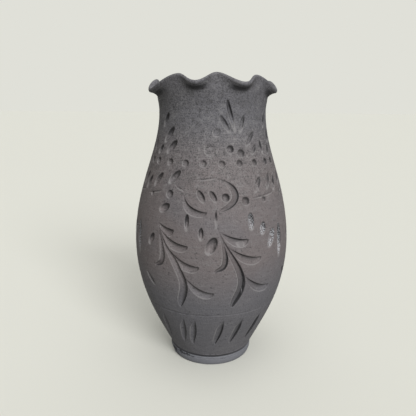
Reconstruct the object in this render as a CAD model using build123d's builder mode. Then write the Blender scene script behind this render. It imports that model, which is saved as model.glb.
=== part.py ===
from math import cos, pi, radians, sin
import os

from build123d import *

# Black clay vase, hand-built from luted sections of clay and carved before firing.
# Millimetres, +Z up, origin at the centre of the foot's underside. Angles are
# measured round the axis from the front (-Y), positive towards +X.

HEIGHT = 300.0          # top of the tallest wave of the rim
WALL = 6.5              # wall, measured level; about 6 mm square to the surface
FLOOR_UNDERSIDE = 10.5  # also the top of the foot ring
FLOOR_TOP = 17.0

# Outer wall: radius and height at the body's lower edge, the belly and the neck's waist.
# One curve swells from the lower edge to the belly, and one closes in to the waist.
BASE = (45.5, 13.0)
BELLY = (82.0, 130.0)
WAIST = (55.0, 266.0)
BASE_LEAN = 0.5         # outward for each millimetre of rise
BASE_PULL = 38.0        # height over which each curve keeps the direction of its end
UNDER_BELLY_PULL = 50.0
OVER_BELLY_PULL = 60.0
WAIST_PULL = 41.0
COVE = (41.0, 20.5)     # inside, where the floor turns up into the wall
NECK_FLARE = 0.006      # mean flare of the rim above the waist, per millimetre squared
BODY_EDGE = (43.6, FLOOR_UNDERSIDE)

# Foot ring, which swells a little under the body's lower edge
FOOT_OUTER = 42.4
FOOT_TOP_OUTER = 44.0
FOOT_BULGE = 45.3
FOOT_INNER = 33.0
FOOT_TOP_INNER = 34.0

# Floor disc, with a bevelled edge
DISC_LOWER = 38.0
DISC_UPPER = 33.5

# Heights of the bevelled joints between wall sections, at the middle of the wall
FIRST_JOINT = 50.0
BELLY_JOINT = 97.0
SHOULDER_JOINT = 147.0
NECK_JOINT = 200.0
RIM_JOINT = 258.0
BEVEL_SLOPE = 1.3       # the bevel rises this much for each millimetre inward
BEVEL_REACH = 12.0      # each way from the middle of the wall

# Rim: angle of each crest and trough, how far it curls over, and how far it droops
RIM_BENDS = [
    (-98.0, 0, 2.5),
    (-70.0, 1, 5.5),
    (-34.0, 0, 0.6),
    (-14.0, 1, 0.0),
    (3.5, 0, 0.0),
    (27.5, 1, 0.7),
    (46.0, 0, 0.8),
    (74.0, 1, 5.0),
    (99.0, 0, 3.0),
    (120.0, 1, 3.0),
    (141.0, 0, 3.0),
    (162.0, 1, 2.0),
    (183.0, 0, 1.5),
    (204.0, 1, 1.5),
    (225.0, 0, 1.5),
    (243.0, 1, 3.0),
    (262.0, 0, 2.5),
]
LIP = 4.2               # thickness of the lip, which is fully rounded
CREST_RADIUS = 56.2     # to the middle of the lip
TROUGH_RADIUS = 64.0
DROOP_REACH = 1.0       # each millimetre that a crest droops carries it this much further out
TROUGH_DROP = 7.5
CREST_LEAN = 10.0       # the lip's lean outward from upright
TROUGH_LEAN = 62.0
DROOP_LEAN = 4.0        # and leans it this many degrees more
CURL_START = (56.9, 282.0)
CURL_TANGENT = (0.12, 1.0)
RIM_START = 248.0       # the rim's sections run down past the joint, then are cut
STATIONS = 72

# Carving
RING_LINE = 70.0        # height of the incised ring low on the body
RING_LINE_RADIUS = 0.8
RING_LINE_DEPTH = 0.6
DOT_RADIUS = 4.0
DOT_DEPTH = 1.5
PANELS = 3              # one panel of ferns, flower, dots and tongues repeats round the pot
CUT_DEPTH = 0.3         # depth of a gouge cut as a share of its width

# Ferns: a bowed spine with leaflets on its right, each leaving at a share of the way down
SPINE_BOW = 12.0        # degrees
SPINE_WIDTHS = (5.0, 6.0, 7.0, 6.0)
LEAFLET_WIDTH = 7.0
RIGHT_FERN = {"root": (4, 162), "tip": (16, 79), "leaflets": [(0.05, 21, 9), (0.22, 26, 14), (0.58, 24, 16)]}
LEFT_FERN = {
    "root": (-40, 162),
    "tip": (-23, 78),
    "leaflets": [(0.0, 14, 5), (0.06, 23, 14), (0.28, 22, 15), (0.6, 20, 15)],
}
HANGING_LEAF = ((1, 6), (7, 32), (-3, 46))  # turned and dropped this far from the fern's root
HANGING_WIDTH = 5.0

# Flower: a broken oval with two petals inside it
FLOWER_CENTRE = (0, 190)
FLOWER_HALF_ANGLE = 20.0
FLOWER_HALF_HEIGHT = 15.5
FLOWER_WIDTH = 5.0
RIGHT_SWEEP = (75, 30, -20, -70)            # round the oval, in degrees above level
LEFT_SWEEP = (182, 222, 260)
PETAL = (-10, 193, -3, 182)
PETAL_PITCH = 9.5

# Leaves: angle and height of the middle, lean towards +X from upright, length and width
LEAVES = [
    (18, 262, -15, 28, 4.0),
    (12, 254, -30, 18, 4.0),
    (30, 254, 20, 16, 4.0),
    (38, 240, 40, 17, 4.0),
    (41, 230, 40, 11, 4.0),
    (-54, 257, 30, 15, 5.0),
    (-46, 243, 35, 17, 5.0),
    (-40, 232, 40, 15, 5.0),
    (-61, 197, 30, 14, 4.0),
    (-48, 201, 35, 15, 4.0),
    (-31, 205, 40, 16, 5.0),
    (38, 198, 35, 17, 5.0),
    (51, 200, 30, 16, 4.0),
    (-17, 165, 0, 15, 3.0),
    (-7, 155, 0, 12, 3.0),
    (0, 144, 25, 16, 6.0),
    (3, 169, 0, 14, 3.0),
    (-37, 176, 60, 14, 5.0),
    (28, 165, 0, 16, 5.0),
    (38, 157, 15, 12, 6.0),
    (46, 146, 25, 18, 7.0),
    (56, 141, 0, 34, 6.0),
    (-46, 144, 30, 14, 5.0),
    (-49, 102, -45, 15, 5.0),
]

# Tongues: long cuts above the foot, all leaning the same way
TONGUE_ANGLES = (-47, -26, -16, 8, 25, 46)
TONGUE_HEIGHTS = (30, 63)
TONGUE_LEAN = 3.0       # degrees each way from the middle
TONGUE_WIDTH = 6.0

# Round dents pressed with a stick
DOT_ROW = [(-54 + 15.5 * step, 218) for step in range(8)]
NECK_DOTS = [(16, 231), (26, 227)]
SHOULDER_DOTS = [(-52, 187), (-33, 189), (10, 188), (25, 184), (42, 184)]


def place_at(curve, height):
    """How far along a rising wall curve a height is reached, from 0 to 1."""
    low, high = 0.0, 1.0
    for _ in range(30):
        middle = (low + high) / 2
        if curve.position_at(middle).Y < height:
            low = middle
        else:
            high = middle
    return low


def shoulder_curve(inset):
    """The wall from the belly up to the neck's waist, moved in by a level distance."""
    return Bezier(
        (BELLY[0] - inset, BELLY[1]),
        (BELLY[0] - inset, BELLY[1] + OVER_BELLY_PULL),
        (WAIST[0] - inset, WAIST[1] - WAIST_PULL),
        (WAIST[0] - inset, WAIST[1]),
    )


# ---------------------------------------------------------------- wall outline
with BuildSketch(Plane.XZ) as wall_outline:
    with BuildLine():
        flank = Bezier(
            BASE,
            (BASE[0] + BASE_LEAN * BASE_PULL, BASE[1] + BASE_PULL),
            (BELLY[0], BELLY[1] - UNDER_BELLY_PULL),
            BELLY,
        )
        shoulder = shoulder_curve(0)
        inner_shoulder = shoulder_curve(WALL)
        Line((WAIST[0] - WALL, WAIST[1]), WAIST)
        ThreePointArc(BODY_EDGE, (45.0, 11.4), BASE)
        Line((DISC_LOWER, FLOOR_UNDERSIDE), BODY_EDGE)
        Line((DISC_LOWER, FLOOR_UNDERSIDE), (DISC_UPPER, FLOOR_TOP))
        Spline(
            [(DISC_UPPER, FLOOR_TOP), COVE]
            + [(flank.position_at(place_at(flank, z)).X - WALL, z) for z in (35, 55, 80, 105)]
            + [(BELLY[0] - WALL, BELLY[1])],
            tangents=[(2, 1), (0, 1)],
        )
    make_face()


def outer_radius(height):
    """Radius of the outer wall, which flares gently above the waist."""
    if height >= WAIST[1]:
        return WAIST[0] + NECK_FLARE * (height - WAIST[1]) ** 2
    curve = flank if height < BELLY[1] else shoulder
    return curve.position_at(place_at(curve, height)).X


def on_wall(angle, height, lift=0.0):
    """Point on the outer wall, or lifted off it by a distance measured level."""
    turn = radians(angle)
    radius = outer_radius(height) + lift
    return Vector(radius * sin(turn), -radius * cos(turn), height)


def bevel_ends(height):
    """Outer and inner ends of the bevelled joint through the middle of the wall."""
    middle = outer_radius(height) - WALL / 2
    rise = BEVEL_REACH * BEVEL_SLOPE
    return (middle + BEVEL_REACH, height - rise), (middle - BEVEL_REACH, height + rise)


def band(lower, upper):
    """Outline of the wall between two bevelled joints."""
    lower_out, lower_in = bevel_ends(lower)
    upper_out, upper_in = bevel_ends(upper)
    with BuildSketch(Plane.XZ) as outline:
        with BuildLine():
            Polyline(lower_out, lower_in, upper_in, upper_out, close=True)
        make_face()
        add(wall_outline.sketch_local, mode=Mode.INTERSECT)
    return outline.sketch


def gouge(cut):
    """The clay that one pull of a gouge removes: a long spindle lying in the wall."""
    angle_0, height_0, angle_1, height_1, width = cut
    depth = CUT_DEPTH * width
    start = on_wall(angle_0, height_0, width / 2 - depth)
    end = on_wall(angle_1, height_1, width / 2 - depth)
    middle = (start + end) / 2
    along = (end - start).normalized()
    reach = 0.55 * (end - start).length
    sideways = along.cross(Vector(middle.X, middle.Y, 0))
    with BuildPart() as tool:
        with BuildSketch(Plane(origin=middle, x_dir=along, z_dir=sideways)):
            with BuildLine():
                ThreePointArc((-reach, 0), (0, width / 2), (reach, 0))
                Line((reach, 0), (-reach, 0))
            make_face()
        revolve(axis=Axis(middle, along))
    return tool.part


def chain(places, widths):
    """Gouge cuts end to end through a row of places."""
    return [(*start, *end, width) for start, end, width in zip(places, places[1:], widths)]


def spine_place(fern, share):
    """Angle and height at a share of the way down a fern's bowed spine."""
    (root_angle, root_height), (tip_angle, tip_height) = fern["root"], fern["tip"]
    angle = root_angle + (tip_angle - root_angle) * share + SPINE_BOW * sin(pi * share ** 1.5)
    return angle, root_height + (tip_height - root_height) * share


def fern_cuts(fern):
    """The spine of a fern, the leaflets on its right and the leaf that hangs on its left."""
    count = len(SPINE_WIDTHS)
    cuts = chain([spine_place(fern, step / count) for step in range(count + 1)], SPINE_WIDTHS)
    for share, reach, drop in fern["leaflets"]:
        angle, height = spine_place(fern, share)
        cuts.append((angle + reach / 5, height - drop / 2, angle + reach, height - drop, LEAFLET_WIDTH))
    root_angle, root_height = fern["root"]
    hanging = [(root_angle + turn, root_height - drop) for turn, drop in HANGING_LEAF]
    return cuts + chain(hanging, [HANGING_WIDTH] * 2)


def flower_cuts():
    """The broken oval of the flower and its two petals."""
    cuts = []
    for sweep in (RIGHT_SWEEP, LEFT_SWEEP):
        places = [
            (
                FLOWER_CENTRE[0] + FLOWER_HALF_ANGLE * cos(radians(turn)),
                FLOWER_CENTRE[1] + FLOWER_HALF_HEIGHT * sin(radians(turn)),
            )
            for turn in sweep
        ]
        cuts += chain(places, [FLOWER_WIDTH] * 3)
    angle_0, height_0, angle_1, height_1 = PETAL
    for shift in (0, PETAL_PITCH):
        cuts.append((angle_0 + shift, height_0, angle_1 + shift, height_1, FLOWER_WIDTH - 1))
    return cuts


def leaf_cut(leaf):
    """One leaf as a cut from its lower to its upper end."""
    angle, height, lean, length, width = leaf
    turned = length / 2 * sin(radians(lean)) / radians(outer_radius(height))
    risen = length / 2 * cos(radians(lean))
    return angle - turned, height - risen, angle + turned, height + risen, width


def tongue_cut(angle):
    """One tongue, its upper end further round than its lower end."""
    return angle - TONGUE_LEAN, TONGUE_HEIGHTS[0], angle + TONGUE_LEAN, TONGUE_HEIGHTS[1], TONGUE_WIDTH


PANEL = fern_cuts(RIGHT_FERN) + fern_cuts(LEFT_FERN) + flower_cuts()
PANEL += [leaf_cut(leaf) for leaf in LEAVES] + [tongue_cut(angle) for angle in TONGUE_ANGLES]


def cuts_between(low, high):
    """Every panel's gouge cuts that reach the heights between low and high."""
    chosen = [cut for cut in PANEL if max(cut[1], cut[3]) > low and min(cut[1], cut[3]) < high]
    return [
        gouge((a + turn, h, b + turn, k, width))
        for turn in range(0, 360, 360 // PANELS)
        for a, h, b, k, width in chosen
    ]


def dents(dots):
    """Places for the balls that press a list of dots into every panel."""
    return [
        on_wall(angle + turn, height, DOT_RADIUS - DOT_DEPTH)
        for turn in range(0, 360, 360 // PANELS)
        for angle, height in dots
    ]


def rim_bend(angle):
    """How far the rim curls over at an angle, 0 on a crest and 1 in a trough, and its droop."""
    for (start, curl_0, droop_0), (end, curl_1, droop_1) in zip(RIM_BENDS, RIM_BENDS[1:]):
        if start <= angle <= end:
            share = (1 - cos(pi * (angle - start) / (end - start))) / 2
            return curl_0 + (curl_1 - curl_0) * share, droop_0 + (droop_1 - droop_0) * share
    return rim_bend(angle - 360 if angle > 0 else angle + 360)


def rim_section(angle):
    """Closed outline of the rim's wall in the upright plane at one angle."""
    curl, droop = rim_bend(angle)
    lean = radians(CREST_LEAN + (TROUGH_LEAN - CREST_LEAN) * curl + DROOP_LEAN * droop)
    middle = Vector(
        CREST_RADIUS + (TROUGH_RADIUS - CREST_RADIUS) * curl + DROOP_REACH * droop * (1 - curl),
        HEIGHT - LIP / 2 - TROUGH_DROP * curl - droop,
    )
    up = Vector(sin(lean), cos(lean))
    outward = Vector(cos(lean), -sin(lean)) * (LIP / 2)
    tangent = Vector(*CURL_TANGENT).normalized()
    outer_curl = Vector(*CURL_START) - tangent * droop * curl
    inner_curl = outer_curl - Vector(WALL, 0)
    turn = radians(angle)
    plane = Plane((0, 0, 0), x_dir=(sin(turn), -cos(turn), 0), z_dir=(-cos(turn), -sin(turn), 0))
    with BuildSketch(plane) as outline:
        with BuildLine():
            outer = shoulder.trim(place_at(shoulder, RIM_START), 1.0)
            inner = inner_shoulder.trim(place_at(inner_shoulder, RIM_START), 1.0)
            add(outer)
            add(inner)
            Spline(outer @ 1, outer_curl, tangents=[outer % 1, tangent])
            Spline(outer_curl, middle + outward, tangents=[tangent, up])
            ThreePointArc(middle + outward, middle + up * (LIP / 2), middle - outward)
            Spline(middle - outward, inner_curl, tangents=[up * -1, tangent * -1])
            Spline(inner_curl, inner @ 1, tangents=[tangent * -1, inner % 1 * -1])
            Line(inner @ 0, outer @ 0)
        make_face()
    return outline.sketch


# ---------------------------------------------------------------- foot and floor
with BuildPart() as foot_ring:
    with BuildSketch(Plane.XZ):
        with BuildLine():
            Spline(
                (FOOT_OUTER, 0),
                (FOOT_BULGE - 1.0, 3.0),
                (FOOT_BULGE, 7.5),
                (FOOT_TOP_OUTER, FLOOR_UNDERSIDE),
            )
            Polyline(
                (FOOT_TOP_OUTER, FLOOR_UNDERSIDE),
                (FOOT_TOP_INNER, FLOOR_UNDERSIDE),
                (FOOT_INNER, 1.0),
                (FOOT_INNER + 0.8, 0),
                (FOOT_OUTER, 0),
            )
        make_face()
    revolve(axis=Axis.Z)

with BuildPart() as base_disc:
    with BuildSketch(Plane.XZ):
        with BuildLine():
            Polyline(
                (0, FLOOR_UNDERSIDE),
                (DISC_LOWER, FLOOR_UNDERSIDE),
                (DISC_UPPER, FLOOR_TOP),
                (0, FLOOR_TOP),
                close=True,
            )
        make_face()
    revolve(axis=Axis.Z)

# ---------------------------------------------------------------- wall sections
with BuildPart() as lower_wall:
    with BuildSketch(Plane.XZ):
        with BuildLine():
            joint_out, joint_in = bevel_ends(FIRST_JOINT)
            Polyline(joint_out, joint_in, (0, joint_in[1]), (0, 0), (joint_out[0], 0), close=True)
        make_face()
        add(wall_outline.sketch_local, mode=Mode.INTERSECT)
    revolve(axis=Axis.Z)
    add(cuts_between(20, 56), mode=Mode.SUBTRACT)

with BuildPart() as lower_belly_coil:
    with BuildSketch(Plane.XZ):
        add(band(FIRST_JOINT, BELLY_JOINT))
    revolve(axis=Axis.Z)
    with BuildSketch(Plane.XZ):
        with Locations((outer_radius(RING_LINE) + RING_LINE_RADIUS - RING_LINE_DEPTH, RING_LINE)):
            Circle(RING_LINE_RADIUS)
    revolve(axis=Axis.Z, mode=Mode.SUBTRACT)
    add(cuts_between(44, 103), mode=Mode.SUBTRACT)

with BuildPart() as upper_belly_coil:
    with BuildSketch(Plane.XZ):
        add(band(BELLY_JOINT, SHOULDER_JOINT))
    revolve(axis=Axis.Z)
    add(cuts_between(90, 153), mode=Mode.SUBTRACT)

with BuildPart() as shoulder_coil:
    with BuildSketch(Plane.XZ):
        add(band(SHOULDER_JOINT, NECK_JOINT))
    revolve(axis=Axis.Z)
    add(cuts_between(140, 206), mode=Mode.SUBTRACT)
    with Locations(*dents(SHOULDER_DOTS)):
        Sphere(DOT_RADIUS, mode=Mode.SUBTRACT)

with BuildPart() as neck_coil:
    with BuildSketch(Plane.XZ):
        add(band(NECK_JOINT, RIM_JOINT))
    revolve(axis=Axis.Z)
    add(cuts_between(193, 264), mode=Mode.SUBTRACT)
    with Locations(*dents(DOT_ROW + NECK_DOTS)):
        Sphere(DOT_RADIUS, mode=Mode.SUBTRACT)

with BuildPart() as front_half:
    for station in range(STATIONS // 2 + 1):
        add(rim_section(360 * station / STATIONS).face())
    loft()

with BuildPart() as ruffled_rim:
    for station in range(STATIONS // 2, STATIONS + 1):
        add(rim_section(360 * station / STATIONS).face())
    loft()
    add(front_half.part)
    with BuildSketch(Plane.XZ):
        with BuildLine():
            joint_out, joint_in = bevel_ends(RIM_JOINT)
            Polyline(joint_out, joint_in, (0, joint_in[1]), (0, joint_out[1]), close=True)
        make_face()
    revolve(axis=Axis.Z, mode=Mode.SUBTRACT)
    add(cuts_between(250, HEIGHT), mode=Mode.SUBTRACT)

# ---------------------------------------------------------------- write the parts
os.makedirs("parts", exist_ok=True)
pieces = {
    "foot_ring": foot_ring,
    "base_disc": base_disc,
    "lower_wall": lower_wall,
    "lower_belly_coil": lower_belly_coil,
    "upper_belly_coil": upper_belly_coil,
    "shoulder_coil": shoulder_coil,
    "neck_coil": neck_coil,
    "ruffled_rim": ruffled_rim,
}
for label, piece in pieces.items():
    # Crumbs between crossing cuts fall away; the wall itself is the largest solid.
    wall = piece.part.solids().sort_by(SortBy.VOLUME)[-1]
    wall.label = label
    export_step(wall, f"parts/{label}.step")
    print(label, wall.is_valid, round(wall.volume), wall.bounding_box())
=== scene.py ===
import math

import bpy
import numpy as np
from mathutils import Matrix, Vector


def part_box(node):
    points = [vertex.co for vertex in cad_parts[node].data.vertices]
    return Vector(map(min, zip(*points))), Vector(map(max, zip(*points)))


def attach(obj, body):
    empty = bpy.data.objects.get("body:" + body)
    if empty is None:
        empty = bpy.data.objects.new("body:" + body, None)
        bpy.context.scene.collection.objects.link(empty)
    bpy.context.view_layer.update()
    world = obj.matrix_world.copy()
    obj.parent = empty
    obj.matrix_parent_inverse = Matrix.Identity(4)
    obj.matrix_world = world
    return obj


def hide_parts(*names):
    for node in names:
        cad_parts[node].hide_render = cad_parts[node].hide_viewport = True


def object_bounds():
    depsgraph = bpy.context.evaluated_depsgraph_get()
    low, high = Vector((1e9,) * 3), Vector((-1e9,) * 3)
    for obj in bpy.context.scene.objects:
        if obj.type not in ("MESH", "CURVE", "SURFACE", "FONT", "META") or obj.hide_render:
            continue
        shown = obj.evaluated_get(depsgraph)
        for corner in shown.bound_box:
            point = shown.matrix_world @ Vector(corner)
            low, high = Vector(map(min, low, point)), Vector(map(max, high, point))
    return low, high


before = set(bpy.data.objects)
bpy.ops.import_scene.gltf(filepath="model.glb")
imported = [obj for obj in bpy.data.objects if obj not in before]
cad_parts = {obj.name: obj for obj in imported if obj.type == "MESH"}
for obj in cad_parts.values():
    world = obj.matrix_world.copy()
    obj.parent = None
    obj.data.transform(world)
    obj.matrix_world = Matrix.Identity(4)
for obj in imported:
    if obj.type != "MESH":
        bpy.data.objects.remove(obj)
FRAME_BOUNDS = [[float(v) for v in corner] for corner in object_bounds()]

MM = 0.001

# ------------------------------------------------------------------ sizes from the CAD frame, and the wall's thickness
TOP = FRAME_BOUNDS[1][2] / MM
BELLY_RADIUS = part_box("upper_belly_coil")[1][0] / MM
FLOOR_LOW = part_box("base_disc")[0][2] / MM
FLOOR_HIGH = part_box("base_disc")[1][2] / MM
WALL = 6.5              # thickness, measured level
SECTIONS = [
    "lower_wall", "lower_belly_coil", "upper_belly_coil",
    "shoulder_coil", "neck_coil", "ruffled_rim",
]
LOW_OUTER = {name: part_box(name)[0][2] / MM for name in SECTIONS}
HIGH_INNER = {name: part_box(name)[1][2] / MM for name in SECTIONS}

# ------------------------------------------------------------------ the wall's profile
# Radius and height in millimetres of the body's lower edge, the belly and the neck's waist.
# One curve swells from the lower edge to the belly, and one closes in to the waist.
BASE, BELLY, WAIST = (45.5, 13.0), (BELLY_RADIUS, 130.0), (55.0, 266.0)
BASE_LEAN = 0.5         # outward for each millimetre of rise
BASE_PULL, UNDER_BELLY_PULL = 38.0, 50.0
OVER_BELLY_PULL, WAIST_PULL = 60.0, 41.0
WAIST_RADIUS, WAIST_HEIGHT = WAIST


def bezier(start, leave, arrive, end):
    """Closely spaced points along a cubic curve."""
    t = np.linspace(0, 1, 2001)[:, None]
    return (np.multiply(start, (1 - t) ** 3) + np.multiply(leave, 3 * t * (1 - t) ** 2)
            + np.multiply(arrive, 3 * t ** 2 * (1 - t)) + np.multiply(end, t ** 3))


WALL_LINE = np.vstack([
    bezier(
        BASE,
        np.add(BASE, (BASE_LEAN * BASE_PULL, BASE_PULL)),
        np.subtract(BELLY, (0, UNDER_BELLY_PULL)),
        BELLY,
    ),
    bezier(
        BELLY,
        np.add(BELLY, (0, OVER_BELLY_PULL)),
        np.subtract(WAIST, (0, WAIST_PULL)),
        WAIST,
    )[1:],
])


def wall_radius(z):
    """Outer radius at height z, both in millimetres."""
    return np.minimum(np.interp(z, WALL_LINE[:, 1], WALL_LINE[:, 0]), BELLY_RADIUS - 0.01)


LEVELS = np.linspace(0, 310, 3101)
RADII = wall_radius(LEVELS)
ARC = np.concatenate([[0], np.cumsum(np.hypot(np.diff(LEVELS), np.diff(RADII)))])


def arc_at(z):
    """Length along the wall from the floor up to height z."""
    return np.interp(z, LEVELS, ARC)


# ------------------------------------------------------------------ the carving
# Angles are in degrees from the front (-Y), positive towards +X. A gouge stroke runs along its
# steep edge, with the scooped side on its right hand, and is given as its points (angle and
# height), width, depth, share of the way along where it is widest, and roughness.

# Ferns: a bowed spine with leaflets on its right. Each leaflet leaves at a share of the way
# down, and reaches so many degrees to the right and so many millimetres down.
SPINE_BOW = 12.0
RIGHT_FERN = {
    "root": (4, 162),
    "tip": (16, 79),
    "leaflets": [(0.05, 21, 9), (0.22, 26, 14), (0.58, 24, 16)],
}
LEFT_FERN = {
    "root": (-40, 162),
    "tip": (-23, 78),
    "leaflets": [(0.0, 14, 5), (0.06, 23, 14), (0.28, 22, 15), (0.6, 20, 15)],
}
# Each place on the hanging leaf is turned and dropped this far from the fern's root.
HANGING_LEAF = ((1, 6), (5, 18), (7, 31), (5, 40), (-2, 44))

# Flower: a broken oval, cut in two sweeps round it (start, end and depth)
FLOWER_CENTRE = (0, 190)
FLOWER_HALF_ANGLE, FLOWER_HALF_HEIGHT = 20.0, 15.5
SWEEPS = [(85, -75, 1.3), (182, 262, 1.6)]

# Tongues above the foot: their lean each way from the middle, and their bow, in degrees
TONGUE_ANGLES = (-47, -26, -16, 8, 25, 46)
TONGUE_TOP, TONGUE_LENGTH = 64, 35
TONGUE_LEAN, TONGUE_BOW = 3.0, 2.5


def spine_place(fern, share):
    """Angle and height at a share of the way down a fern's bowed spine."""
    (root_angle, root_height), (tip_angle, tip_height) = fern["root"], fern["tip"]
    bow = SPINE_BOW * math.sin(math.pi * share ** 1.5)
    angle = root_angle + (tip_angle - root_angle) * share + bow
    return angle, root_height + (tip_height - root_height) * share


def fern_strokes(fern):
    """The spine of a fern, the leaflets on its right and the leaf that hangs on its left."""
    spine = [spine_place(fern, share) for share in np.linspace(0, 1, 14)]
    strokes = [(spine, 8.0, 2.7, 0.82, 0.1)]
    for share, reach, drop in fern["leaflets"]:
        angle, height = spine_place(fern, share)
        path = [(angle + reach * u, height - drop * (1 - (1 - u) ** 2))
                for u in np.linspace(0, 1, 8)]
        strokes.append((path, 7.5, 1.9, 0.7, 0.15))
    root_angle, root_height = fern["root"]
    hanging = [(root_angle + turn, root_height - drop) for turn, drop in HANGING_LEAF]
    return strokes + [(hanging, 5.5, 2.0, 0.65, 0.05)]


def flower_stroke(start, end, deep):
    """Part of the flower's broken oval, between two directions in degrees above level."""
    turns = np.radians(np.linspace(start, end, 12))
    path = [(FLOWER_CENTRE[0] + FLOWER_HALF_ANGLE * math.cos(turn),
             FLOWER_CENTRE[1] + FLOWER_HALF_HEIGHT * math.sin(turn)) for turn in turns]
    return path, 6.5, deep, 0.5, 0.1


def tongue(angle):
    """One tongue above the foot, leaning over and bowed a little to its right."""
    path = [(angle + TONGUE_LEAN * (1 - 2 * u) + TONGUE_BOW * math.sin(math.pi * u),
             TONGUE_TOP - TONGUE_LENGTH * u)
            for u in np.linspace(0, 1, 8)]
    return path, 6.5, 1.2, 0.4, 0.0


SCRATCHES = [
    ((-60, 187), (-40, 192)),
    ((27, 186), (57, 190)),
    ((-17, 203), (6, 207)),
    ((-30, 199), (-20, 193)),
]
STROKES = fern_strokes(RIGHT_FERN) + fern_strokes(LEFT_FERN)
STROKES += [flower_stroke(*sweep) for sweep in SWEEPS]
STROKES += [tongue(angle) for angle in TONGUE_ANGLES]
STROKES += [(ends, 1.6, 0.8, 0.5, 0.0) for ends in SCRATCHES]

# Leaves and dents: angle and height of the middle, lean from upright, length, width, depth, roughness
LEAVES = [
    (18, 262, -15, 30, 4.5, 0.9, 0.0),
    (12, 254, -30, 18, 5.0, 0.8, 0.2),
    (30, 254, 20, 17, 4.5, 0.8, 0.1),
    (38, 240, 40, 18, 4.5, 0.9, 0.0),
    (41, 230, 40, 12, 4.5, 0.9, 0.1),
    (52, 232, -5, 14, 4.5, 1.0, 0.1),
    (-54, 257, 30, 16, 6.0, 1.6, 0.2),
    (-46, 243, 35, 19, 7.0, 1.8, 0.2),
    (-40, 232, 40, 17, 7.0, 1.8, 0.2),
    (-55, 229, 30, 11, 5.0, 1.5, 0.2),
    (-61, 197, 30, 16, 5.5, 1.5, 0.1),
    (-48, 201, 35, 17, 6.5, 1.6, 0.2),
    (-31, 205, 40, 17, 7.0, 1.7, 0.3),
    (38, 198, 35, 18, 6.0, 1.2, 0.2),
    (51, 200, 30, 17, 5.5, 1.1, 0.1),
    (-8, 189, -30, 13, 6.0, 1.4, 0.2),
    (1, 189, -30, 12, 5.5, 1.3, 0.2),
    (-17, 165, 0, 16, 4.0, 1.5, 0.2),
    (-7, 155, 0, 12, 4.5, 1.4, 0.2),
    (3, 169, 0, 16, 1.8, 0.4, 0.0),
    (0, 144, 25, 18, 10.0, 2.2, 0.6),
    (-36, 176, 60, 14, 8.0, 1.7, 0.0),
    (-46, 144, 30, 14, 6.5, 1.8, 0.3),
    (-49, 102, -45, 17, 5.0, 1.4, 0.1),
]
TORN_CHIPS = [
    (28, 165, 0, 17, 7.0, 1.8, 0.9),
    (38, 157, 15, 13, 7.5, 1.9, 1.0),
    (46, 146, 25, 20, 9.0, 2.1, 1.0),
    (56, 141, 0, 36, 8.0, 2.2, 1.0),
]
DOT_ROW = [
    (-54 + 15.5 * step, 218, 0, 7, 7, 0.7 + 0.2 * abs(step - 3.5), 0.0) for step in range(8)
]
# Other round dents: angle, height, width and depth
ROUND_DENTS = [
    (16, 231, 7.6, 1.3),
    (26, 227, 8.4, 1.3),
    (-52, 187, 4.5, 0.9),
    (-33, 189, 8.0, 1.5),
    (10, 188, 8.0, 1.6),
    (25, 184, 8.4, 1.4),
    (42, 184, 5.8, 0.9),
]
DOTS = [(angle, height, 0, wide, wide, deep, 0.0) for angle, height, wide, deep in ROUND_DENTS]
# Two scuffed spots on the neck
SMEARS = [(4, 246, 0, 8, 8, 0.1, 0.5), (-2, 230, 0, 11, 11, -0.1, 0.45)]
PRESSED = LEAVES + TORN_CHIPS + DOT_ROW + DOTS + SMEARS
PANELS = 3              # times that the panel of carving repeats round the vase
RING_HEIGHT = 70.0      # incised ring low on the body
STEEP = 0.55           # how far the steep edge takes to fall, in millimetres
FINE = 2.5             # strokes narrower than this are scratches, left at their drawn depth


def smoothstep(x):
    x = np.clip(x, 0, 1)
    return x * x * (3 - 2 * x)


def curve_through(points, step):
    """Points about a step apart along a Catmull-Rom curve through the given points."""
    p = np.array(points, float)
    p = np.vstack([2 * p[0] - p[1], p, 2 * p[-1] - p[-2]])
    out = []
    for i in range(1, len(p) - 2):
        length = np.hypot(*(p[i + 1] - p[i]))
        t = np.linspace(0, 1, max(3, int(length / step)), endpoint=False)[:, None]
        out.append(0.5 * (2 * p[i] + (p[i + 1] - p[i - 1]) * t
                          + (2 * p[i - 1] - 5 * p[i] + 4 * p[i + 1] - p[i + 2]) * t ** 2
                          + (3 * p[i] - p[i - 1] - 3 * p[i + 1] + p[i + 2]) * t ** 3))
    out.append(p[-2:-1])
    return np.vstack(out)


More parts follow.
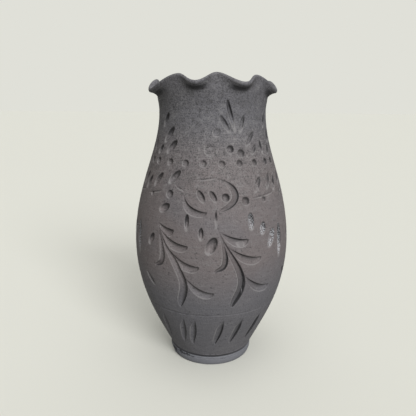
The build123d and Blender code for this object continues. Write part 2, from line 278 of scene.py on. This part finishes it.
def stroke(x, y, path, width, depth, peak):
    """Depth, painted shade and painted far-edge highlight of one stroke at flat places x, y; path is its
    steep edge.
    """
    along = np.gradient(path, axis=0)
    along /= np.hypot(along[:, 0], along[:, 1])[:, None]
    travelled = np.concatenate([[0], np.cumsum(np.hypot(*np.diff(path, axis=0).T))])
    length = travelled[-1]
    dx = x[:, None] - path[None, :, 0]
    dy = y[:, None] - path[None, :, 1]
    nearest = np.argmin(dx * dx + dy * dy, axis=1)
    rows = np.arange(len(x))
    dx, dy = dx[rows, nearest], dy[rows, nearest]
    tx, ty = along[nearest, 0], along[nearest, 1]
    ahead = dx * tx + dy * ty
    across = dx * ty - dy * tx
    s = np.clip((travelled[nearest] + ahead) / length, 0, 1)
    rise = np.sin(0.5 * math.pi * np.clip(s / peak, 0, 1)) ** 1.2
    fall = np.sqrt(np.clip(1 - ((s - peak) / (1 - peak)) ** 2, 0, 1))
    share = np.where(s < peak, rise, fall)
    reach = np.maximum(width * share, 0.9)
    floor = depth * (0.22 + 0.78 * share)
    floor *= smoothstep(s * length / 2.0) * smoothstep((1 - s) * length / 1.2)
    past = (np.abs(ahead) > 0.8) & ((nearest == 0) | (nearest == len(path) - 1))
    bowl = smoothstep(across / STEEP) * (1 - np.clip(across / reach, 0, 1) ** 2.8)
    inside = (across > 0) & ~past
    cut = np.where(inside, floor * bowl, 0)
    # Painted shade, darkest by the steep edge, and a painted highlight along the far edge
    shade = np.where(inside, share * (1 - np.clip(across / reach, 0, 1)) ** 1.1, 0)
    painted_edge_highlight = np.where(past, 0, share * np.exp(-((across - reach - 0.3) / 0.6) ** 2))
    return cut, shade, painted_edge_highlight


def press(x, y, lean, length, width, deep):
    """Depth, painted shade and painted far-edge highlight of a leaf or dent centred on the origin of flat x,
    y.
    """
    tilt = math.radians(lean)
    far = np.hypot((x * math.sin(tilt) + y * math.cos(tilt)) / (length / 2),
                   (x * math.cos(tilt) - y * math.sin(tilt)) / (width / 2))
    toward_x, toward_y = 0.75, 0.65         # the steep side, up and to the right
    spread = math.hypot((toward_x * math.sin(tilt) + toward_y * math.cos(tilt)) / (length / 2),
                        (toward_x * math.cos(tilt) - toward_y * math.sin(tilt)) / (width / 2))
    side = (toward_x * x + toward_y * y) * spread
    cut = (0.9 + 1.3 * deep) * np.clip(1 + 0.4 * side, 0, 2) * np.clip(1 - far ** 2.6, 0, 1)
    # Painted shade on the steep side and a painted highlight along the lit far edge
    shade = np.clip(0.5 + side, 0, 1) * smoothstep(cut / 0.6) * min(0.9, 0.25 + 0.4 * deep)
    painted_edge_highlight = 0.8 * np.clip(0.5 - side, 0, 1) * np.exp(-((far - 0.95) * width / 1.4) ** 2)
    return cut, shade, painted_edge_highlight


def waves(angle, height, seed, count, turns, rate):
    """Smooth seeded noise on the wall, seamless round the axis, about minus one to one."""
    rng = np.random.default_rng(seed)
    total = np.zeros(np.broadcast(angle, height).shape)
    for _ in range(count):
        k = rng.integers(turns[0], turns[1] + 1)
        m = rng.uniform(*rate)
        total += np.cos(k * np.radians(angle) + m * height + rng.uniform(0, 6.283))
    return total / math.sqrt(count / 2) / 1.6


def steepness(depth, heights):
    """Slope of the carving on the grid, as depth over distance."""
    if len(heights) < 2:
        return np.zeros(depth.shape)
    reach = np.radians(360 / depth.shape[1]) * wall_radius(heights)[:, None]
    sideways = (np.roll(depth, -1, 1) - np.roll(depth, 1, 1)) / (2 * reach)
    upward = np.gradient(depth, arc_at(heights) + 1e-6 * np.arange(len(heights)), axis=0)
    return np.hypot(sideways, upward)


def carving(angles, heights):
    """Depth of carving, torn clay, painted shade, painted far-edge highlights and painted shade on steep
    walls, on the grid of angles by heights.
    """
    shape = (len(heights), len(angles))
    depth, torn, shade, painted_edge_highlight = (np.zeros(shape) for _ in range(4))
    radius = wall_radius(heights)
    arc = arc_at(heights)

    def patch(centre, spread, low, high):
        turned = (angles - centre + 180) % 360 - 180
        cols = np.where(np.abs(turned) < spread)[0]
        rows = np.where((heights > low) & (heights < high))[0]
        return rows, cols, turned[cols]

    for panel in range(PANELS):
        turn = 360 / PANELS * panel
        for points, width, deep, peak, rough in STROKES:
            a = np.array(points, float)
            deep = deep if width < FINE else 0.8 + 1.15 * deep
            centre = a[:, 0].mean()
            spread = np.ptp(a[:, 0]) / 2 + 14
            lowest, highest = a[:, 1].min() - width, a[:, 1].max() + width
            rows, cols, turned = patch(centre + turn, spread, lowest, highest)
            if len(rows) == 0 or len(cols) == 0:
                continue
            sideways = np.radians(a[:, 0] - centre) * wall_radius(a[:, 1])
            path = curve_through(np.stack([sideways, arc_at(a[:, 1])], 1), 0.5)
            x = (np.radians(turned)[None, :] * radius[rows][:, None]).ravel()
            y = np.repeat(arc[rows], len(cols))
            keep = ((x > path[:, 0].min() - width) & (x < path[:, 0].max() + width)
                    & (y > path[:, 1].min() - width) & (y < path[:, 1].max() + width))
            found = np.zeros((3, len(x)))
            if keep.any():
                found[:, keep] = stroke(x[keep], y[keep], path, width, deep, peak)
            cut, shaded, painted_far_highlight = found.reshape(3, len(rows), len(cols))
            sub = np.ix_(rows, cols)
            shade[sub] = np.maximum(shade[sub], shaded)
            painted_edge_highlight[sub] = np.maximum(painted_edge_highlight[sub], painted_far_highlight)
            torn[sub] = np.maximum(torn[sub], rough * smoothstep(cut / 0.5))
            depth[sub] = np.maximum(depth[sub], cut)
        for angle, height, lean, length, width, deep, rough in PRESSED:
            reach = max(length, width) / 2 + 1
            rows, cols, turned = patch(angle + turn, 22, height - reach, height + reach)
            if len(rows) == 0 or len(cols) == 0:
                continue
            x = np.radians(turned)[None, :] * radius[rows][:, None]
            y = (arc[rows] - arc_at(height))[:, None]
            cut, shaded, painted_far_highlight = press(x, y, lean, length, width, deep)
            sub = np.ix_(rows, cols)
            shade[sub] = np.maximum(shade[sub], shaded)
            painted_edge_highlight[sub] = np.maximum(painted_edge_highlight[sub], painted_far_highlight)
            torn[sub] = np.maximum(torn[sub], rough * smoothstep(cut / 0.4))
            depth[sub] = np.maximum(depth[sub], cut)
    ring = RING_HEIGHT + 0.35 * np.sin(np.radians(angles * 2 + 30))
    groove = 0.55 * np.exp(-((arc[:, None] - arc_at(ring)[None, :]) / 0.55) ** 2)
    depth = np.maximum(depth, groove)
    grain = waves(angles[None, :], heights[:, None], 11, 24, (120, 420), (-6, 6))
    depth += torn * 0.45 * np.clip(grain, -1, 1)
    painted_edge_highlight *= 1 - smoothstep((depth - 1.2) / 0.8)
    # Painted shade on steep walls, darker the steeper the carving
    painted_occlusion_shade = steepness(depth, heights)
    return depth, {"torn": torn, "shade": shade, "painted_edge_highlight": painted_edge_highlight, "painted_occlusion_shade": painted_occlusion_shade}


def relief(angles, heights):
    """Unevenness of the scraped wall, always inward, in millimetres."""
    slow = waves(angles[None, :], heights[:, None], 3, 10, (2, 9), (-0.09, 0.09))
    wiping = waves(angles[None, :], heights[:, None], 5, 14, (0, 6), (0.9, 2.6))
    return 0.22 * (1.2 - np.clip(slow, -1.2, 1.2)) + 0.035 * (1.2 - np.clip(wiping, -1.2, 1.2))


# ------------------------------------------------------------------ meshes
COLUMNS = 900
ROW_PITCH = 0.64       # between rows of the carved wall, in millimetres
INNER_PITCH = 4.0      # between rows of the inner wall
ANGLES = np.arange(COLUMNS) * 360 / COLUMNS
# Besides torn clay, these marks carry painted shade and a painted highlight for the material
MARKS = ("torn", "shade", "painted_edge_highlight", "painted_occlusion_shade")       # what the material reads off the carving


def around(radius, height, angles=ANGLES):
    """Places at these radii and heights, one row of columns round the axis, in metres."""
    turn = np.radians(angles)
    radius = np.broadcast_to(radius, np.broadcast(radius, angles).shape)
    height = np.broadcast_to(height, radius.shape)
    return np.stack([radius * np.sin(turn), -radius * np.cos(turn), height], -1) * MM


def ring_mesh(name, rows, closed, sharp=(), marks=None):
    """Mesh of rows of places round the axis; a closed one joins its last row to its first."""
    rows = np.asarray(rows)
    count, columns = rows.shape[:2]
    index = np.arange(count * columns).reshape(count, columns)
    lower = index if closed else index[:-1]
    upper = np.roll(index, -1, axis=0) if closed else index[1:]
    quads = np.stack([lower, np.roll(lower, -1, 1), np.roll(upper, -1, 1), upper], -1).reshape(-1, 4)
    mesh = bpy.data.meshes.new(name)
    mesh.vertices.add(count * columns)
    mesh.vertices.foreach_set("co", rows.reshape(-1).astype(np.float32))
    mesh.loops.add(len(quads) * 4)
    mesh.loops.foreach_set("vertex_index", quads.reshape(-1).astype(np.int32))
    mesh.polygons.add(len(quads))
    mesh.polygons.foreach_set("loop_start", np.arange(0, len(quads) * 4, 4, dtype=np.int32))
    mesh.update(calc_edges=True)
    mesh.polygons.foreach_set("use_smooth", np.ones(len(quads), bool))
    if len(sharp):
        ends = np.zeros(len(mesh.edges) * 2, np.int32)
        mesh.edges.foreach_get("vertices", ends)
        ends = ends.reshape(-1, 2)
        row_of = ends // columns
        flags = (row_of[:, 0] == row_of[:, 1]) & np.isin(row_of[:, 0], sharp)
        layer = mesh.attributes.new("sharp_edge", "BOOLEAN", "EDGE")
        layer.data.foreach_set("value", flags)
    for label in MARKS:
        values = (marks or {}).get(label, np.zeros(rows.shape[:2]))
        layer = mesh.attributes.new(label, "FLOAT", "POINT")
        layer.data.foreach_set("value", np.asarray(values, np.float32).reshape(-1))
    mesh.validate()
    piece = bpy.data.objects.new(name, mesh)
    bpy.context.scene.collection.objects.link(piece)
    return piece


def outer_rows(heights):
    """Rows of places on the carved outer wall, and the marks of the carving on them."""
    depth, marks = carving(ANGLES, heights)
    inward = depth + relief(ANGLES, heights)
    radius = wall_radius(heights)
    slope = np.gradient(RADII, LEVELS)
    lean = np.interp(heights, LEVELS, slope)
    across = 1 / np.hypot(1, lean)
    r = radius[:, None] - inward * across[:, None]
    z = heights[:, None] + inward * (lean * across)[:, None]
    return np.stack([around(r[i], z[i]) for i in range(len(heights))]), marks


def inner_rows(heights):
    """Rows of places on the inner wall, finger-smoothed, from top to bottom."""
    ripple = 0.5 * waves(ANGLES[None, :], heights[:, None], 8, 8, (0, 5), (0.12, 0.4))
    inset = wall_radius(heights) - WALL + 0.3
    return np.stack([around(inset[i] + ripple[i], h) for i, h in enumerate(heights)])


def steps(low, high, pitch):
    """Evenly spaced values from low to high, about a pitch apart."""
    return np.linspace(low, high, max(2, int(round((high - low) / pitch)) + 1))


clay_pieces = []


def clay_piece(name, rows, sharp, marks=None):
    """One piece of clay that stands for the CAD node of the same name."""
    piece = ring_mesh("clay_" + name, rows, closed=True, sharp=sharp, marks=marks)
    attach(piece, "root")
    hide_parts(name)
    clay_pieces.append(piece)


def padded(marks, below, above):
    """Marks of the outer rows, with unmarked rows before and after them."""
    return {
        label: np.concatenate([np.zeros((below, COLUMNS)), values, np.zeros((above, COLUMNS))])
        for label, values in marks.items()
    }


def wall_section(name, low, high, inner_low, inner_high):
    """One coil of the wall: carved outside, smoothed inside, with its bevelled joints."""
    outside, marks = outer_rows(steps(low, high, ROW_PITCH))
    inside = inner_rows(steps(inner_low, inner_high, INNER_PITCH)[::-1])
    clay_piece(
        name,
        np.concatenate([outside, inside]),
        sharp=(0, len(outside) - 1, len(outside), len(outside) + len(inside) - 1),
        marks=padded(marks, 0, len(inside)),
    )


for lower, name, upper in zip(SECTIONS, SECTIONS[1:], SECTIONS[2:]):
    wall_section(name, LOW_OUTER[name], LOW_OUTER[upper], HIGH_INNER[lower], HIGH_INNER[name])

# The first section stands on the foot ring and wraps over the floor's bevel.
EDGE_TOP = BASE[1]
COVE_TOP = 23.5
edge_turn = np.linspace(0, math.pi / 2, 7)
edge = [(42.9 + 2.5 * math.sin(t), FLOOR_LOW + 2.4 * (1 - math.cos(t))) for t in edge_turn]
outside, marks = outer_rows(steps(EDGE_TOP, LOW_OUTER["lower_belly_coil"], ROW_PITCH))
inside = inner_rows(steps(COVE_TOP, HIGH_INNER["lower_wall"], INNER_PITCH)[::-1])
cove = [(41.6, 20.8), (39.5, 18.8), (36.8, 17.5), (33.6, FLOOR_HIGH), (38.0, FLOOR_LOW)]
under = np.stack([around(r, z) for r, z in edge])
within = np.stack([around(r, z) for r, z in cove])
rows = np.concatenate([under, outside, inside, within])
marks = padded(marks, len(under), len(inside) + len(within))
# Painted shade on the underside rows that wrap over towards the foot ring
marks["painted_occlusion_shade"][:len(under)] = 1.8
top_row = len(under) + len(outside)
creases = (0, top_row - 1, top_row, len(rows) - 2, len(rows) - 1)
clay_piece("lower_wall", rows, sharp=creases, marks=marks)

# ------------------------------------------------------------------ the ruffled rim
# Angle of each crest and trough, how far it curls over, and how far it droops.
RIM_BENDS = [
    (-98.0, 0, 2.5), (-70.0, 1, 5.5), (-34.0, 0, 0.6), (-14.0, 1, 0.0),
    (3.5, 0, 0.0), (27.5, 1, 0.7), (46.0, 0, 0.8), (74.0, 1, 5.0),
    (99.0, 0, 3.0), (120.0, 1, 3.0), (141.0, 0, 3.0), (162.0, 1, 2.0),
    (183.0, 0, 1.5), (204.0, 1, 1.5), (225.0, 0, 1.5), (243.0, 1, 3.0),
    (262.0, 0, 2.5),
]
LIP = 4.2               # thickness of the round lip
CREST_RADIUS, TROUGH_RADIUS, TROUGH_DROP, DROOP_REACH = 56.2, 64.0, 7.5, 1.0
CREST_LEAN, TROUGH_LEAN, DROOP_LEAN = 10.0, 62.0, 4.0
RISING_ROWS, CURLING_ROWS = 24, 22
OUTER_SPANS = RISING_ROWS + CURLING_ROWS        # rows of the rim's outer line, below the lip
CURL_START = np.array([56.9, 282.0])
CURL_TANGENT = np.array([0.12, 1.0]) / math.hypot(0.12, 1.0)


def rim_bend(angle):
    """How far the rim curls over at an angle, 0 on a crest and 1 in a trough, and its droop."""
    angle = (angle - RIM_BENDS[0][0]) % 360 + RIM_BENDS[0][0]
    for (start, curl_0, droop_0), (end, curl_1, droop_1) in zip(RIM_BENDS, RIM_BENDS[1:]):
        if start <= angle <= end:
            share = (1 - math.cos(math.pi * (angle - start) / (end - start))) / 2
            return curl_0 + (curl_1 - curl_0) * share, droop_0 + (droop_1 - droop_0) * share
    return 0.0, RIM_BENDS[0][2]


def span(start, end, leaving, arriving, samples):
    """Smooth curve between two points with these end directions, without its last point."""
    chord = np.hypot(*(end - start))
    t = np.linspace(0, 1, samples, endpoint=False)[:, None]
    return (start * (2 * t ** 3 - 3 * t ** 2 + 1) + end * (3 * t ** 2 - 2 * t ** 3)
            + chord * leaving * (t ** 3 - 2 * t ** 2 + t) + chord * arriving * (t ** 3 - t ** 2))


def rim_profile(angle):
    """Outer line, round lip and inner line of the rim at one angle, from the waist up and over."""
    curl, droop = rim_bend(angle)
    lean = math.radians(CREST_LEAN + (TROUGH_LEAN - CREST_LEAN) * curl + DROOP_LEAN * droop)
    middle = np.array([
        CREST_RADIUS + (TROUGH_RADIUS - CREST_RADIUS) * curl + DROOP_REACH * droop * (1 - curl),
        TOP - LIP / 2 - TROUGH_DROP * curl - droop,
    ])
    up = np.array([math.sin(lean), math.cos(lean)])
    outward = np.array([math.cos(lean), -math.sin(lean)])
    waist = np.array([WAIST_RADIUS, WAIST_HEIGHT])
    inner_waist = waist - (WALL, 0)
    outer_curl = CURL_START - CURL_TANGENT * droop * curl
    inner_curl = outer_curl - (WALL, 0)
    rising = np.array([-0.03, 1.0])
    turn = np.linspace(0, math.pi, 15)[:-1, None]
    return np.vstack([
        span(waist, outer_curl, rising, CURL_TANGENT, RISING_ROWS),
        span(outer_curl, middle + outward * LIP / 2, CURL_TANGENT, up, CURLING_ROWS),
        middle + LIP / 2 * (np.cos(turn) * outward + np.sin(turn) * up),
        span(middle - outward * LIP / 2, inner_curl, -up, -CURL_TANGENT, 16),
        span(inner_curl, inner_waist, -CURL_TANGENT, -rising, 8),
        inner_waist[None],
    ])


profiles = np.stack([rim_profile(a) for a in ANGLES], axis=1)
neck_heights = steps(LOW_OUTER["ruffled_rim"], WAIST_HEIGHT, ROW_PITCH)[:-1]
neck_rows, neck_marks = outer_rows(neck_heights)
# Carving carries on a little way above the waist and fades out under the curl.
upper_heights = np.linspace(WAIST_HEIGHT, 285.0, 33)
upper_depth, upper_marks = carving(ANGLES, upper_heights)
upper_inward = upper_depth + relief(ANGLES, upper_heights)
level = profiles[:OUTER_SPANS, :, 1]
fade = 1 - smoothstep((level - 278) / 7)


def raised(grid, column):
    """Values of a grid over the upper heights at the levels of one column of the rim."""
    return np.interp(level[:, column], upper_heights, grid[:, column]) * fade[:, column]


marks = {label: np.zeros(profiles.shape[:2]) for label in MARKS}
for j in range(COLUMNS):
    profiles[:OUTER_SPANS, j, 0] -= raised(upper_inward, j)
    for label in MARKS:
        marks[label][:OUTER_SPANS, j] = raised(upper_marks[label], j)
# Painted shadow under the curl of the troughs, added to the painted shade of steep walls
curls = np.array([rim_bend(a)[0] for a in ANGLES])
along = np.linspace(0, 1, CURLING_ROWS)
painted_curl_shadow = smoothstep(along / 0.5) * (1 - smoothstep((along - 0.72) / 0.24))
marks["painted_occlusion_shade"][RISING_ROWS:OUTER_SPANS] += 1.9 * painted_curl_shadow[:, None] * smoothstep(curls * 1.15)[None, :]
rim_upper = np.stack([around(row[:, 0], row[:, 1]) for row in profiles])
bevel_height = HIGH_INNER["neck_coil"]
bevel_inner = around(np.full(COLUMNS, wall_radius(bevel_height) - WALL), bevel_height)
rows = np.concatenate([neck_rows, rim_upper, bevel_inner[None]])
marks = {
    label: np.concatenate([neck_marks[label], marks[label], np.zeros((1, COLUMNS))]) for label in MARKS
}
clay_piece("ruffled_rim", rows, sharp=(0, len(rows) - 1), marks=marks)

# ------------------------------------------------------------------ foot ring and floor
# Chips: angle, height, half-width, half-height and depth
CHIPS = [
    (-62, 6.5, 7.0, 3.2, 2.6),
    (-74, 3.5, 9.0, 3.6, 2.4),
    (-47, 7.8, 5.5, 2.2, 2.2),
    (-36, 8.2, 6.0, 1.6, 2.0),
    (-54, 3.0, 3.2, 1.8, 0.8),
    (-26, 8.0, 3.0, 0.9, 0.9),
    (18, 7.4, 5.0, 0.7, 0.35),
    (112, 7.5, 8.0, 1.8, 0.9),
    (171, 6.0, 5.0, 2.2, 0.8),
    (236, 8.0, 9.0, 1.3, 0.8),
]
foot_outline = curve_through([
    (42.4, 0.0), (43.6, 1.2), (44.5, 3.2), (45.1, 6.0), (45.2, 7.9),
    (44.5, 8.2), (45.1, 8.6), (44.8, 9.6), (43.0, 10.4),
], 0.25)
foot = [(33.8, 0.0), (38.0, 0.0)] + [(r - 0.12, z) for r, z in foot_outline] + [
    (42.0, FLOOR_LOW), (38.0, FLOOR_LOW), (34.0, FLOOR_LOW), (33.5, 5.0), (33.1, 1.2)]
FACE = len(foot_outline)
rows, foot_torn = [], []
for i, (r, z) in enumerate(foot):
    inward = np.zeros(COLUMNS)
    torn_here = np.zeros(COLUMNS)
    if 2 < i < 2 + FACE:
        inward += 0.1 * (1 - waves(ANGLES, z * 1.0, 21, 10, (3, 26), (-0.8, 0.8)))
        for angle, height, wide, high, deep in CHIPS:
            away = ((ANGLES - angle + 180) % 360 - 180) * math.radians(r)
            ragged = 0.25 * waves(ANGLES, z * 1.0, 31, 12, (40, 160), (-3, 3))
            far = np.hypot(away / wide, (z - height) / high) + ragged
            cut = deep * smoothstep((1 - far) * 2.2)
            torn_here = np.maximum(torn_here, smoothstep(cut / 0.5))
            inward = np.maximum(inward, cut)
    rows.append(around(r - inward, z))
    foot_torn.append(torn_here)
rows = np.stack(rows)
foot_torn = np.stack(foot_torn)
# Painted shade in the chips and on the top of the foot ring under the body's edge, and painted glints on the
# chips' torn clay
painted_shade_under_body = 2.0 * smoothstep((np.array([z for _, z in foot]) - 9.6) / 0.6)[:, None]
clay_piece("foot_ring", rows, sharp=(0, 2, 4 + FACE, len(rows) - 1),
           marks={"torn": foot_torn * 0.5, "painted_occlusion_shade": foot_torn * 1.7 + painted_shade_under_body})

# The floor: a flat underside, a bevelled edge and a slightly dished top.
disc = [(r, FLOOR_LOW) for r in (0.0, 8, 16, 24, 31, 35, 38.0)] + [(33.6, FLOOR_HIGH)]
disc += [(r, FLOOR_HIGH - 0.5 * math.sin(r / 33.6 * math.pi)) for r in (30, 25, 19, 13, 7, 2)]
disc += [(0.0, FLOOR_HIGH)]
clay_piece("base_disc", np.stack([around(r, z) for r, z in disc]), sharp=(6, 7))


# ------------------------------------------------------------------ material
class Nodes:
    """A short way to add and join shader nodes."""

    def __init__(self, name):
        self.material = bpy.data.materials.new(name)
        self.material.use_nodes = True
        self.tree = self.material.node_tree
        self.tree.nodes.clear()

    def add(self, kind, inputs=None, **settings):
        node = self.tree.nodes.new(kind)
        for key, value in settings.items():
            setattr(node, key, value)
        for key, value in (inputs or {}).items():
            socket = node.inputs[key]
            if isinstance(value, bpy.types.NodeSocket):
                self.tree.links.new(value, socket)
            else:
                socket.default_value = value
        return node

    def noise(self, vector, scale, detail=3.0, rough=0.5, distortion=0.0):
        return self.add("ShaderNodeTexNoise", {
            "Vector": vector, "Scale": scale, "Detail": detail, "Roughness": rough, "Distortion": distortion,
        }).outputs["Fac"]

    def ramp(self, value, low, high, to_low=0.0, to_high=1.0):
        return self.add("ShaderNodeMapRange", {
            "Value": value, "From Min": low, "From Max": high, "To Min": to_low, "To Max": to_high,
        }, interpolation_type="SMOOTHSTEP").outputs["Result"]

    def sum(self, operation, a, b):
        return self.add("ShaderNodeMath", {0: a, 1: b}, operation=operation).outputs[0]

    def mix(self, factor, a, b):
        node = self.add("ShaderNodeMix", data_type="RGBA")
        for socket, value in ((node.inputs[0], factor), (node.inputs[6], a), (node.inputs[7], b)):
            if isinstance(value, bpy.types.NodeSocket):
                self.tree.links.new(value, socket)
            else:
                socket.default_value = value
        return node.outputs[2]


def clay():
    """Unburnished black clay: grey, gritty, with warmer and cooler patches and speckle, and painted shade,
    highlights and glints.
    """
    n = Nodes("black_clay")
    place = n.add("ShaderNodeTexCoord").outputs["Object"]
    stretched = n.add("ShaderNodeMapping", {"Vector": place, "Scale": (1.0, 1.0, 9.0)}).outputs[0]
    height = n.add("ShaderNodeSeparateXYZ", {0: place}).outputs["Z"]
    patches = n.noise(place, 16.0, 4.0, 0.55)
    grit = n.noise(place, 820.0, 3.0, 0.6)
    speckle = n.noise(place, 900.0, 2.0, 0.6)
    pits = n.noise(place, 480.0, 2.0, 0.5)
    wiping = n.noise(stretched, 55.0, 5.0, 0.65)
    streaks = n.noise(stretched, 130.0, 3.0, 0.6)
    upper = n.ramp(height, 0.16, 0.21)
    warm = n.ramp(height, 0.075, 0.13)
    cool = n.ramp(height, 0.205, 0.262)
    warmth = n.sum("MULTIPLY", warm, n.sum("SUBTRACT", 1.0, cool))
    warmth = n.sum("MULTIPLY", warmth, n.ramp(patches, 0.3, 0.62, 0.4, 1.0))
    colour = n.mix(warmth, (0.128, 0.125, 0.138, 1), (0.158, 0.134, 0.134, 1))
    colour = n.mix(n.ramp(patches, 0.42, 0.7, 0.0, 0.3), colour, (0.160, 0.151, 0.158, 1))
    colour = n.mix(n.ramp(wiping, 0.5, 0.74, 0.0, 0.4), colour, (0.205, 0.200, 0.202, 1))

    # Mottling and grit, stronger on the shoulder and neck
    mottle = n.noise(place, 190.0, 4.0, 0.62)
    gritty = n.sum("ADD", 0.28, n.sum("MULTIPLY", upper, 0.62))
    dark_mottle = n.sum("MULTIPLY", gritty, n.ramp(mottle, 0.5, 0.36, 0.0, 0.45))
    colour = n.mix(dark_mottle, colour, (0.072, 0.070, 0.071, 1))
    pale_mottle = n.sum("MULTIPLY", gritty, n.ramp(mottle, 0.53, 0.68, 0.0, 0.4))
    colour = n.mix(pale_mottle, colour, (0.235, 0.230, 0.232, 1))

    # Level wiping streaks in a band round the neck
    below_band = n.sum("SUBTRACT", 1.0, n.ramp(height, 0.235, 0.262))
    banded = n.sum("MULTIPLY", n.ramp(height, 0.195, 0.225), below_band)
    pale_streaks = n.sum("MULTIPLY", banded, n.ramp(streaks, 0.52, 0.68, 0.0, 0.5))
    colour = n.mix(pale_streaks, colour, (0.25, 0.235, 0.23, 1))
    dark_streaks = n.sum("MULTIPLY", banded, n.ramp(streaks, 0.46, 0.34, 0.0, 0.4))
    colour = n.mix(dark_streaks, colour, (0.05, 0.045, 0.045, 1))

    dark_grit = n.sum("MULTIPLY", gritty, n.ramp(grit, 0.5, 0.36, 0.0, 0.75))
    colour = n.mix(dark_grit, colour, (0.045, 0.044, 0.046, 1))
    pale_grit = n.sum("MULTIPLY", gritty, n.ramp(grit, 0.55, 0.7, 0.0, 0.45))
    colour = n.mix(pale_grit, colour, (0.22, 0.218, 0.225, 1))
    colour = n.mix(n.ramp(speckle, 0.56, 0.7, 0.0, 0.35), colour, (0.22, 0.218, 0.22, 1))
    colour = n.mix(n.ramp(pits, 0.62, 0.7, 0.0, 0.5), colour, (0.03, 0.03, 0.032, 1))

    # Marks of the carving: painted shade in the scoops and on steep walls, painted highlights on the far
    # edges, and painted glints on torn clay
    torn = n.add("ShaderNodeAttribute", attribute_name="torn").outputs["Fac"]
    shade = n.add("ShaderNodeAttribute", attribute_name="shade").outputs["Fac"]
    painted_edge_highlight = n.add("ShaderNodeAttribute", attribute_name="painted_edge_highlight").outputs["Fac"]
    painted_occlusion_shade = n.add("ShaderNodeAttribute", attribute_name="painted_occlusion_shade").outputs["Fac"]
    # Darker towards the bottom, and a paler, bluer foot ring
    colour = n.mix(n.ramp(height, 0.1, 0.05, 0.0, 0.1), colour, (0.06, 0.062, 0.068, 1))
    colour = n.mix(n.ramp(height, 0.0115, 0.0095, 0.0, 0.6), colour, (0.185, 0.192, 0.215, 1))
    # Painted shade in the scoops
    colour = n.mix(n.ramp(shade, 0.1, 1.0, 0.0, 0.62), colour, (0.048, 0.047, 0.049, 1))
    # Painted highlight on the far edges of cuts
    colour = n.mix(n.ramp(painted_edge_highlight, 0.1, 1.0, 0.0, 0.5), colour, (0.28, 0.27, 0.27, 1))
    # Painted shade on steep walls, in chips, under the rim's curl and under the body's edge
    colour = n.mix(n.ramp(painted_occlusion_shade, 0.5, 2.2, 0.0, 0.8), colour, (0.022, 0.022, 0.024, 1))
    # Painted glints on torn clay
    glint = n.sum("MULTIPLY", n.ramp(torn, 0.55, 1.0), n.ramp(speckle, 0.44, 0.58))
    colour = n.mix(n.sum("MULTIPLY", glint, 0.7), colour, (0.46, 0.47, 0.5, 1))
    rough = n.ramp(speckle, 0.3, 0.75, 0.72, 0.52)
    rough = n.sum("SUBTRACT", rough, n.sum("MULTIPLY", torn, 0.3))
    bump_height = n.sum("ADD", n.sum("MULTIPLY", grit, 0.7), n.sum("MULTIPLY", pits, -0.4))
    bump_height = n.sum("ADD", bump_height, n.sum("MULTIPLY", wiping, 0.4))
    bump_height = n.sum("ADD", bump_height, n.sum("MULTIPLY", mottle, 0.9))
    bump = n.add("ShaderNodeBump", {"Height": bump_height, "Strength": 0.6, "Distance": 0.0008})
    shader = n.add("ShaderNodeBsdfPrincipled", {
        "Base Color": colour, "Roughness": rough, "Normal": bump.outputs[0], "IOR": 1.45,
        "Specular IOR Level": 0.25,
    })
    n.add("ShaderNodeOutputMaterial", {"Surface": shader.outputs[0]})
    return n.material


clay_material = clay()
for piece in clay_pieces:
    piece.data.materials.append(clay_material)
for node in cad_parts.values():
    node.data.materials.clear()
    node.data.materials.append(clay_material)

# ------------------------------------------------------------------ floor, light and backdrop
PAPER = (0.745, 0.745, 0.688)
floor_mesh = bpy.data.meshes.new("floor")
floor_mesh.from_pydata([(-60, -20, 0), (60, -20, 0), (60, 200, 0), (-60, 200, 0)], [], [(0, 1, 2, 3)])
floor = bpy.data.objects.new("floor", floor_mesh)
bpy.context.scene.collection.objects.link(floor)
paper = bpy.data.materials.new("paper")
paper.use_nodes = True
paper_shader = paper.node_tree.nodes["Principled BSDF"]
paper_shader.inputs["Base Color"].default_value = (0.600, 0.600, 0.554, 1)
paper_shader.inputs["Emission Color"].default_value = (*PAPER, 1)
paper_shader.inputs["Emission Strength"].default_value = 0.104
paper_shader.inputs["Roughness"].default_value = 1.0
paper_shader.inputs["Specular IOR Level"].default_value = 0.0
floor_mesh.materials.append(paper)
floor.visible_diffuse = False
floor.visible_glossy = False


def soft_sun(name, turn, height, spread, strength):
    """Even light from a wide panel; turn is measured from the front towards +X, in degrees."""
    data = bpy.data.lights.new(name, "SUN")
    data.energy = strength
    data.angle = math.radians(spread)
    lamp = bpy.data.objects.new(name, data)
    lamp.rotation_euler = (math.radians(90 - height), 0, math.radians(turn))
    bpy.context.scene.collection.objects.link(lamp)


soft_sun("key", 26, 28, 30, 2.7)
soft_sun("overhead", 10, 68, 60, 0.9)
soft_sun("behind", 180, 52, 80, 0.55)
world = bpy.data.worlds.new("studio")
world.use_nodes = True
room = world.node_tree
room_light = room.nodes["Background"]
room_light.inputs["Color"].default_value = (*PAPER, 1)
room_light.inputs["Strength"].default_value = 0.42
backdrop = room.nodes.new("ShaderNodeBackground")
backdrop.inputs["Color"].default_value = (*PAPER, 1)
seen = room.nodes.new("ShaderNodeLightPath")
choice = room.nodes.new("ShaderNodeMixShader")
room.links.new(seen.outputs["Is Camera Ray"], choice.inputs[0])
room.links.new(room_light.outputs[0], choice.inputs[1])
room.links.new(backdrop.outputs[0], choice.inputs[2])
room.links.new(choice.outputs[0], room.nodes["World Output"].inputs["Surface"])
bpy.context.scene.world = world

# ------------------------------------------------------------------ camera
scene = bpy.context.scene
scene.view_settings.view_transform = "Standard"
camera_data = bpy.data.cameras.new("camera")
camera_data.sensor_width = 36.0
camera_data.lens = 38.25
camera_data.shift_x = -0.0108
camera = bpy.data.objects.new("camera", camera_data)
camera.location = (0.0, -0.470, 0.265)
camera.rotation_euler = (math.radians(90 - 12.3), math.radians(-0.5), 0)
scene.collection.objects.link(camera)
scene.camera = camera
